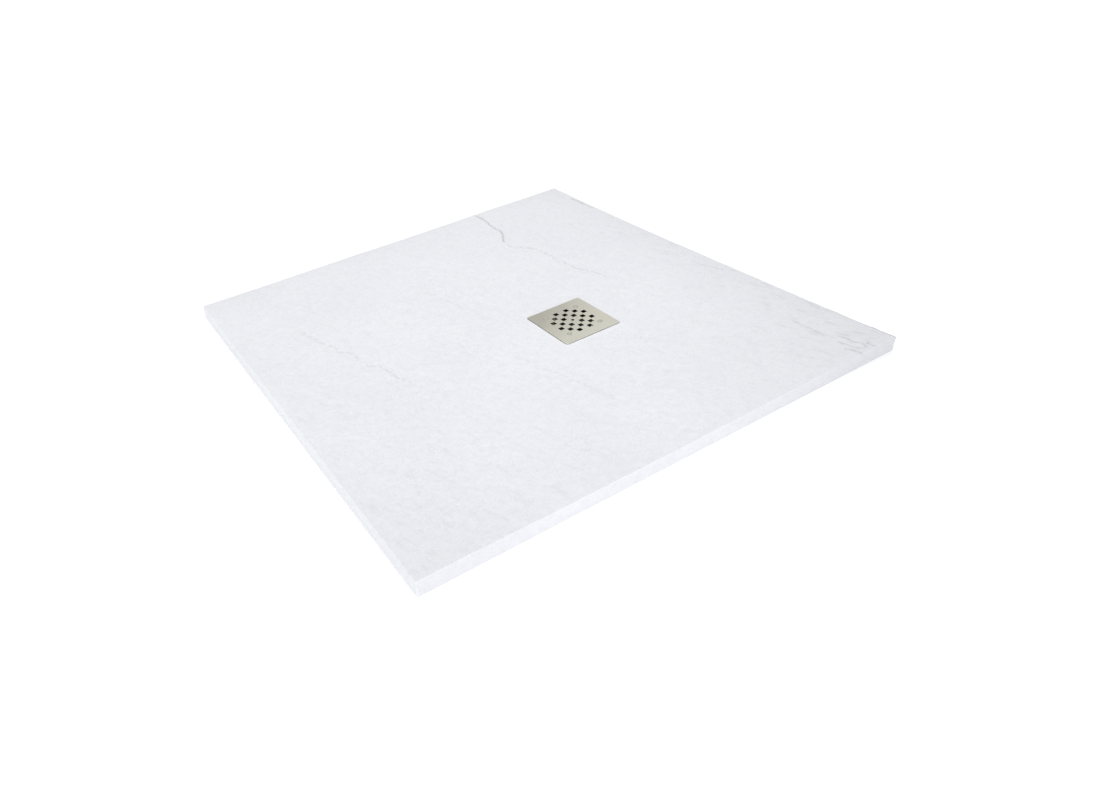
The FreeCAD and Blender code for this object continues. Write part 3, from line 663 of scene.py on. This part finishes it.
def build_tray():
    """The visible tray, which stands for the CAD slab."""
    tray = link(bpy.data.objects.new("slate_tray", build_tray_mesh()))
    over = TOP + CUT_OVERRUN
    under = -CUT_OVERRUN
    cut(tray, prism("recess_cutter", rounded_square(RECESS_HALF, RECESS_CORNER), RECESS_FLOOR, over))
    cut(tray, prism("seat_cutter", ring_of(FLANGE_POCKET), FLANGE_SEAT, over))
    cut(tray, prism("hole_cutter", ring_of(WASTE_HOLE), under, over))
    cut(tray, prism("rebate_cutter", ring_of(REBATE_RADIUS), under, REBATE_TOP))
    mesh = tray.data
    count = len(mesh.vertices)
    place = np.empty(count * 3)
    mesh.vertices.foreach_get("co", place)
    x, y, z = place.reshape(-1, 3).T
    # The painted shade of the cracks and streaks, with the rim's grey bands, goes on the slab's points.
    _, dark = relief(x, y)
    near_top = smooth_step((z - (dish(x, y) - SHADE_DEPTH)) / SHADE_FADE)
    shade = mesh.attributes.new("painted_crevice_shade", "FLOAT", "POINT")
    shade.data.foreach_set("value", (dark * near_top).astype(np.float32))
    mesh.polygons.foreach_set("use_smooth", np.ones(len(mesh.polygons), dtype=bool))
    mesh.set_sharp_from_angle(angle=SHARP_ANGLE)
    return tray


# ---------------------------------------------------------------- materials


# Upright faces have a normal whose z is nearer to 0 than this, and the underside's is below this.
UPRIGHT = 0.5
UNDERSIDE = -0.9


def tinted(colour, factor, lift=0.0):
    """A colour made darker or lighter."""
    return tuple(min(c * factor + lift, 1) for c in colour)


class Shading:
    """A procedural material in the making: short calls that add and join nodes."""

    def __init__(self, name):
        self.material = bpy.data.materials.new(name)
        self.material.use_nodes = True
        self.tree = self.material.node_tree
        self.shader = self.tree.nodes["Principled BSDF"]
        self.place = self.tree.nodes.new("ShaderNodeTexCoord").outputs["Object"]

    def node(self, kind, **settings):
        made = self.tree.nodes.new(kind)
        for key, value in settings.items():
            setattr(made, key, value)
        return made

    def join(self, output, target):
        self.tree.links.new(output, target)

    def constant(self, **values):
        """Set numbers and colours on the shader's own sockets."""
        for name, value in values.items():
            self.shader.inputs[name.replace("_", " ")].default_value = value

    def mapped(self, scale):
        """Place in the frame, with each axis scaled by itself."""
        mapping = self.node("ShaderNodeMapping")
        mapping.inputs["Scale"].default_value = scale
        self.join(self.place, mapping.inputs["Vector"])
        return mapping.outputs["Vector"]

    def parts(self, vector):
        """The three parts of a vector."""
        split = self.node("ShaderNodeSeparateXYZ")
        self.join(vector, split.inputs["Vector"])
        return split.outputs["X"], split.outputs["Y"], split.outputs["Z"]

    def facing(self):
        """How far the surface faces up: 1 up, 0 sideways, -1 down."""
        return self.parts(self.node("ShaderNodeTexCoord").outputs["Normal"])[2]

    def folded(self):
        """Place in the piece's box, as shares out from its middle, the same in all four quarters."""
        vector = self.node("ShaderNodeTexCoord").outputs["Generated"]
        steps = (("SUBTRACT", (0.5, 0.5, 0)), ("ABSOLUTE", None), ("MULTIPLY", (1, 1, 0)))
        for operation, other in steps:
            made = self.node("ShaderNodeVectorMath", operation=operation)
            self.join(vector, made.inputs[0])
            if other is not None:
                made.inputs[1].default_value = other
            vector = made.outputs["Vector"]
        return vector

    def noise(self, scale, detail=3.0, roughness=0.55, vector=None):
        texture = self.node("ShaderNodeTexNoise")
        texture.inputs["Scale"].default_value = scale
        texture.inputs["Detail"].default_value = detail
        texture.inputs["Roughness"].default_value = roughness
        self.join(vector or self.place, texture.inputs["Vector"])
        return texture.outputs["Fac"]

    def ramp(self, value, stops):
        """Map a value through colour stops of (position, (r, g, b))."""
        ramp = self.node("ShaderNodeValToRGB")
        elements = ramp.color_ramp.elements
        while len(elements) < len(stops):
            elements.new(0.5)
        for element, (position, colour) in zip(elements, stops):
            element.position = position
            element.color = (*colour, 1)
        self.join(value, ramp.inputs["Fac"])
        return ramp.outputs["Color"]

    def range(self, value, low, high, new_low, new_high):
        mapped = self.node("ShaderNodeMapRange")
        mapped.inputs["From Min"].default_value = low
        mapped.inputs["From Max"].default_value = high
        mapped.inputs["To Min"].default_value = new_low
        mapped.inputs["To Max"].default_value = new_high
        self.join(value, mapped.inputs["Value"])
        return mapped.outputs["Result"]

    def mix(self, factor, first, second, mode="MIX"):
        """Mix two colours, each a socket or a plain colour."""
        mixed = self.node("ShaderNodeMix", data_type="RGBA", blend_type=mode)
        for value, number in ((factor, 0), (first, 6), (second, 7)):
            socket = mixed.inputs[number]
            if isinstance(value, bpy.types.NodeSocket):
                self.join(value, socket)
            elif isinstance(value, (int, float)):
                socket.default_value = value
            else:
                socket.default_value = (*value, 1)
        return mixed.outputs[2]

    def math(self, operation, first, second):
        made = self.node("ShaderNodeMath", operation=operation)
        for value, socket in zip((first, second), made.inputs):
            if isinstance(value, bpy.types.NodeSocket):
                self.join(value, socket)
            else:
                socket.default_value = value
        return made.outputs[0]

    def bump(self, height, distance, strength=1.0, after=None):
        made = self.node("ShaderNodeBump")
        made.inputs["Strength"].default_value = strength
        made.inputs["Distance"].default_value = distance
        self.join(height, made.inputs["Height"])
        if after is not None:
            self.join(after, made.inputs["Normal"])
        return made.outputs["Normal"]

    def finish(self, colour=None, roughness=None, normal=None):
        for socket, name in ((colour, "Base Color"), (roughness, "Roughness"), (normal, "Normal")):
            if socket is not None:
                self.join(socket, self.shader.inputs[name])
        return self.material


def gelcoat_material():
    """Matt white gelcoat over the riven relief, with painted shade in the cracks and a little painted
    shade on the upright sides, and bare cast stone below."""
    s = Shading("slate_gelcoat")
    broad = s.noise(5.0, 4.0, 0.5)
    mottled = s.noise(85.0, 5.0, 0.62)
    speckle = s.noise(300.0, 3.0, 0.6)
    base = s.ramp(broad, [(0.3, (0.662, 0.67, 0.698)), (0.7, (0.685, 0.693, 0.721))])
    tone = s.ramp(mottled, [(0.34, (0.955, 0.958, 0.963)), (0.62, (1.0, 1.0, 1.0))])
    base = s.mix(1.0, base, tone, "MULTIPLY")
    fleck = s.ramp(speckle, [(0.36, (0.94, 0.943, 0.95)), (0.58, (1.0, 1.0, 1.0))])
    base = s.mix(1.0, base, fleck, "MULTIPLY")
    # Painted shade: the cracks, streaks and rim bands stored on the slab turn the gelcoat grey.
    painted_crevice_shade = s.node("ShaderNodeAttribute", attribute_name="painted_crevice_shade").outputs["Fac"]
    colour = s.mix(painted_crevice_shade, base, (0.2, 0.205, 0.215))
    facing = s.facing()
    # Painted shade: the upright sides a little darker than the top.
    upright = s.math("LESS_THAN", s.math("ABSOLUTE", facing, 0), UPRIGHT)
    colour = s.mix(upright, colour, s.mix(1.0, colour, (0.96, 0.96, 0.963), "MULTIPLY"))
    below = s.math("LESS_THAN", facing, UNDERSIDE)
    stone = s.ramp(mottled, [(0.36, (0.4, 0.385, 0.355)), (0.6, (0.52, 0.505, 0.47))])
    pores = s.ramp(speckle, [(0.38, (0.72, 0.71, 0.69)), (0.5, (1.0, 1.0, 1.0))])
    colour = s.mix(below, colour, s.mix(1.0, stone, pores, "MULTIPLY"))
    rough = s.range(mottled, 0.3, 0.7, 0.5, 0.66)
    grain = s.bump(s.noise(240.0, 6.0, 0.7), 0.0011, 0.55)
    grain = s.bump(s.noise(1100.0, 3.0, 0.6), 0.0003, 0.4, grain)
    s.constant(Specular_IOR_Level=0.42)
    return s.finish(colour, rough, grain)


# The part of a plate that is inside its outer edge, and the part of a head's radius that gets painted
# shade.
INSIDE_EDGE = 0.46
RING_START = 0.5
RING_END = 0.95


def cut_edges(s):
    """1 on the upright walls of a plate's openings, which get painted shade, 0 on its faces and its
    outer edge.
    """
    upright = s.math("LESS_THAN", s.math("ABSOLUTE", s.facing(), 0), UPRIGHT)
    x, y, _ = s.parts(s.folded())
    inner = s.math("LESS_THAN", s.math("MAXIMUM", x, y), INSIDE_EDGE)
    return s.math("MULTIPLY", upright, inner)


def head_rings(s, heads):
    """Towards 1 at the rim of the round heads, which lie at four corners of the piece's box: the
    painted shade of a gap round each head.
    """
    centre, radius = heads
    offset = s.node("ShaderNodeVectorMath", operation="DISTANCE")
    s.join(s.folded(), offset.inputs[0])
    offset.inputs[1].default_value = (centre, centre, 0)
    ring = s.range(offset.outputs["Value"], radius * RING_START, radius * RING_END, 0, 1)
    return s.math("MULTIPLY", ring, s.range(s.noise(330.0, 2.0), 0.35, 0.65, 0.25, 1.0))


def steel_material(name, tint, streak_scale, roughness, reflection_tint=None, heads=None):
    """Brushed stainless steel: fine streaks one way, with faint stains.

    With a tint for its painted reflection, the plate darkens towards it at its back left, and its
    openings get painted shade.
    With heads, a centre and a radius as shares of the box, the round heads get painted shade at their
    rims.
    """
    s = Shading(name)
    streaks = s.noise(1.0, 4.0, 0.7, s.mapped(streak_scale))
    stain = s.noise(28.0, 3.0, 0.55)
    base = s.ramp(streaks, [(0.25, tinted(tint, 0.9)), (0.75, tinted(tint, 1.07))])
    cloud = s.ramp(stain, [(0.35, (0.96, 0.95, 0.93)), (0.65, (1.0, 1.0, 1.0))])
    colour = s.mix(1.0, base, cloud, "MULTIPLY")
    if reflection_tint is not None:
        # Painted reflection: the plate darker towards its back left, broken up by the stains.
        x, y, _ = s.parts(s.node("ShaderNodeTexCoord").outputs["Generated"])
        share = s.math("MULTIPLY", y, s.range(x, 0, 1, 1.0, 0.4))
        share = s.math("ADD", share, s.range(stain, 0.3, 0.7, -0.16, 0.16))
        shade = s.ramp(share, [(0.12, (1.0, 1.0, 1.0)), (0.85, reflection_tint)])
        colour = s.mix(1.0, colour, shade, "MULTIPLY")
        # Painted shade, near black, on the walls of the openings.
        colour = s.mix(cut_edges(s), colour, (0.05, 0.048, 0.042))
    if heads is not None:
        # Painted shade of a gap round each rivet head, at its rim.
        colour = s.mix(head_rings(s, heads), colour, tinted(tint, 0.42))
    rough = s.range(streaks, 0.2, 0.8, roughness - 0.07, roughness + 0.1)
    s.constant(Metallic=1.0)
    return s.finish(colour, rough, s.bump(streaks, 0.00012, 0.5))


def plastic_material(name, colour, roughness):
    """Moulded plastic with a fine spark-eroded grain and slight colour variation."""
    s = Shading(name)
    cloud = s.noise(35.0, 3.0)
    base = s.ramp(cloud, [(0.3, tinted(colour, 0.92)), (0.7, tinted(colour, 1.06))])
    fine = s.noise(900.0, 3.0, 0.6)
    rough = s.range(fine, 0.3, 0.7, roughness - 0.05, roughness + 0.08)
    return s.finish(base, rough, s.bump(fine, 0.0001, 0.5))


def rubber_material(name, colour):
    """Matt rubber with a dusty bloom."""
    s = Shading(name)
    bloom = s.noise(60.0, 4.0, 0.6)
    base = s.ramp(bloom, [(0.35, colour), (0.7, tinted(colour, 1.5, 0.01))])
    fine = s.noise(1400.0, 2.0)
    rough = s.range(bloom, 0.3, 0.7, 0.7, 0.88)
    s.constant(Specular_IOR_Level=0.3)
    return s.finish(base, rough, s.bump(fine, 0.00012, 0.6))


def brass_material():
    """Turned brass with fine rings."""
    s = Shading("insert_brass")
    rings = s.noise(1.0, 3.0, 0.6, s.mapped((60, 60, 3000)))
    base = s.ramp(rings, [(0.3, (0.62, 0.45, 0.2)), (0.7, (0.78, 0.6, 0.3))])
    s.constant(Metallic=1.0)
    return s.finish(base, s.range(rings, 0.3, 0.7, 0.25, 0.4), s.bump(rings, 0.0001, 0.4))


def dress(nodes, material):
    """Give CAD nodes their finish."""
    for name in nodes:
        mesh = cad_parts[name].data
        mesh.materials.clear()
        mesh.materials.append(material)


RIVET_OFFSET = 34.5 * MM
RIVET_HEAD = 4.5 * MM
FEET = [f"grate_foot_{corner}" for corner in ("front_left", "front_right", "back_right", "back_left")]


def dress_cad_nodes():
    """Finishes for the pieces whose CAD shape is shown."""
    # The tint that the plate's painted reflection darkens towards.
    reflection_tint = (0.7, 0.69, 0.68)
    grate_steel = steel_material("grate_steel", (0.575, 0.566, 0.497), (25, 1600, 60), 0.36, reflection_tint)
    dress(["grate_plate"], grate_steel)
    rivets_low, rivets_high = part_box("grate_rivets")
    span = rivets_high[0] - rivets_low[0]
    heads = (RIVET_OFFSET / span, RIVET_HEAD / span)
    rivet_steel = steel_material("rivet_steel", (0.5, 0.5, 0.455), (900, 900, 60), 0.45, None, heads)
    dress(["grate_rivets"], rivet_steel)
    dress(FEET, rubber_material("foot_rubber", (0.03, 0.03, 0.033)))
    dress(["waste_flange"], steel_material("flange_steel", (0.5, 0.5, 0.49), (400, 400, 40), 0.34))
    dress(["flange_screws"], steel_material("screw_steel", (0.56, 0.56, 0.55), (900, 900, 900), 0.3))
    dress(["flange_gasket"], rubber_material("gasket_rubber", (0.02, 0.02, 0.022)))
    dress(["trap_gasket"], rubber_material("foam_rubber", (0.035, 0.035, 0.037)))
    trap_plastic = plastic_material("trap_plastic", (0.06, 0.062, 0.066), 0.42)
    dress(["trap_head", "trap_bowl", "outlet_spigot"], trap_plastic)
    dress(["trap_inserts"], brass_material())
    dress(["dip_tube"], plastic_material("dip_tube_plastic", (0.16, 0.17, 0.18), 0.4))
    dress(["dip_tube_ring"], rubber_material("ring_rubber", (0.018, 0.018, 0.018)))
    dress(["hair_basket"], plastic_material("basket_plastic", (0.085, 0.09, 0.1), 0.38))
    dress(["basket_knob"], plastic_material("knob_plastic", (0.2, 0.21, 0.22), 0.3))
    dress(["outlet_seal"], rubber_material("seal_rubber", (0.02, 0.02, 0.02)))
    dress(["outlet_washer"], plastic_material("washer_nylon", (0.62, 0.61, 0.57), 0.45))
    dress(["outlet_nut"], plastic_material("nut_plastic", (0.065, 0.067, 0.07), 0.45))


# ---------------------------------------------------------------- studio

# The photograph's viewpoint, found from the tray's four corners in its 1100 x 785 frame.
CAMERA_PLACE = Vector((-0.69927, -1.06299, 0.76770))
CAMERA_HEADING = math.radians(25.2055)
CAMERA_DOWN = math.radians(35.3995)
CAMERA_ROLL = math.radians(-7.6039)
CAMERA_LENS = 25.885
SENSOR_WIDTH = 36.0
FRAME_WIDTH = 1100
SHIFT_X = 130 / FRAME_WIDTH
SHIFT_Y = 7.5 / FRAME_WIDTH

FLOOR_REACH = 24.0
POCKET_INSET = 1 * MM
FLOOR_SHADES = (0.968, 0.975)

WORLD_STRENGTH = 1.12
KEY_PLACE = (-2.47, -2.02, 0.35)
KEY_TARGET = (-2.794, -1.074, 0.05)
KEY_SIZE = 0.6
KEY_POWER = 62
FRONT_PLACE = (0.04, -2.6, 1.75)
FRONT_TARGET = (-0.11, 0.53, 0)
FRONT_HALF_ANGLE = 0.268
FRONT_SOFT_SIZE = 0.15
FRONT_POWER = 121


def build_camera():
    data = bpy.data.cameras.new("camera")
    data.lens = CAMERA_LENS
    data.sensor_width = SENSOR_WIDTH
    data.shift_x = SHIFT_X
    data.shift_y = SHIFT_Y
    data.clip_start = 0.01
    data.clip_end = 100
    camera = link(bpy.data.objects.new("camera", data))
    ahead = Vector(
        (
            math.cos(CAMERA_DOWN) * math.sin(CAMERA_HEADING),
            math.cos(CAMERA_DOWN) * math.cos(CAMERA_HEADING),
            -math.sin(CAMERA_DOWN),
        )
    )
    level = ahead.cross(Vector((0, 0, 1))).normalized()
    upward = level.cross(ahead)
    right = level * math.cos(CAMERA_ROLL) + upward * math.sin(CAMERA_ROLL)
    up = right.cross(ahead)
    turn = Matrix((right, up, -ahead)).transposed()
    camera.matrix_world = Matrix.Translation(CAMERA_PLACE) @ turn.to_4x4()
    bpy.context.scene.camera = camera


def build_floor():
    """A pale floor with a pocket under the tray, where the trap hangs."""
    pocket = (HALF_X - POCKET_INSET, HALF_Y - POCKET_INSET)
    vertices = []
    for reach_x, reach_y in ((FLOOR_REACH, FLOOR_REACH), pocket):
        for sign_x, sign_y in ((-1, -1), (1, -1), (1, 1), (-1, 1)):
            vertices.append((sign_x * reach_x, sign_y * reach_y, 0))
    faces = [(i, (i + 1) % 4, 4 + (i + 1) % 4, 4 + i) for i in range(4)]
    mesh = bpy.data.meshes.new("floor")
    mesh.from_pydata(vertices, [], faces)
    mesh.update()
    floor = link(bpy.data.objects.new("floor", mesh))
    s = Shading("pale_floor")
    dull, bright = FLOOR_SHADES
    base = s.ramp(s.noise(3.0, 2.0), [(0.3, (dull, dull, dull)), (0.7, (bright, bright, bright))])
    mesh.materials.append(s.finish(base, s.range(s.noise(40.0), 0.3, 0.7, 0.85, 0.95)))


def aim_lamp(data, place, target):
    """Put a lamp at a place, facing a target."""
    lamp = link(bpy.data.objects.new(data.name, data))
    lamp.location = place
    lamp.rotation_mode = "QUATERNION"
    lamp.rotation_quaternion = (Vector(target) - Vector(place)).to_track_quat("-Z", "Y")


def build_light():
    """An even white studio, a key lamp for the left side, and a soft pool of light on the front."""
    world = bpy.data.worlds.new("studio")
    world.use_nodes = True
    background = world.node_tree.nodes["Background"]
    background.inputs["Color"].default_value = (1.0, 1.0, 1.0, 1)
    background.inputs["Strength"].default_value = WORLD_STRENGTH
    bpy.context.scene.world = world
    key = bpy.data.lights.new("key", "AREA")
    key.shape = "SQUARE"
    key.size = KEY_SIZE
    key.energy = KEY_POWER
    aim_lamp(key, KEY_PLACE, KEY_TARGET)
    front = bpy.data.lights.new("front", "SPOT")
    front.spot_size = 2 * FRONT_HALF_ANGLE
    front.spot_blend = 1.0
    front.shadow_soft_size = FRONT_SOFT_SIZE
    front.energy = FRONT_POWER
    aim_lamp(front, FRONT_PLACE, FRONT_TARGET)


def build_studio():
    build_camera()
    build_floor()
    build_light()
    view = bpy.context.scene.view_settings
    view.view_transform = "Standard"
    view.look = "None"
    view.exposure = 0
    view.gamma = 1


# ---------------------------------------------------------------- assembly

dress_cad_nodes()
tray = build_tray()
tray.data.materials.append(gelcoat_material())
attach(tray, "tray")
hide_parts("tray_body")
build_studio()
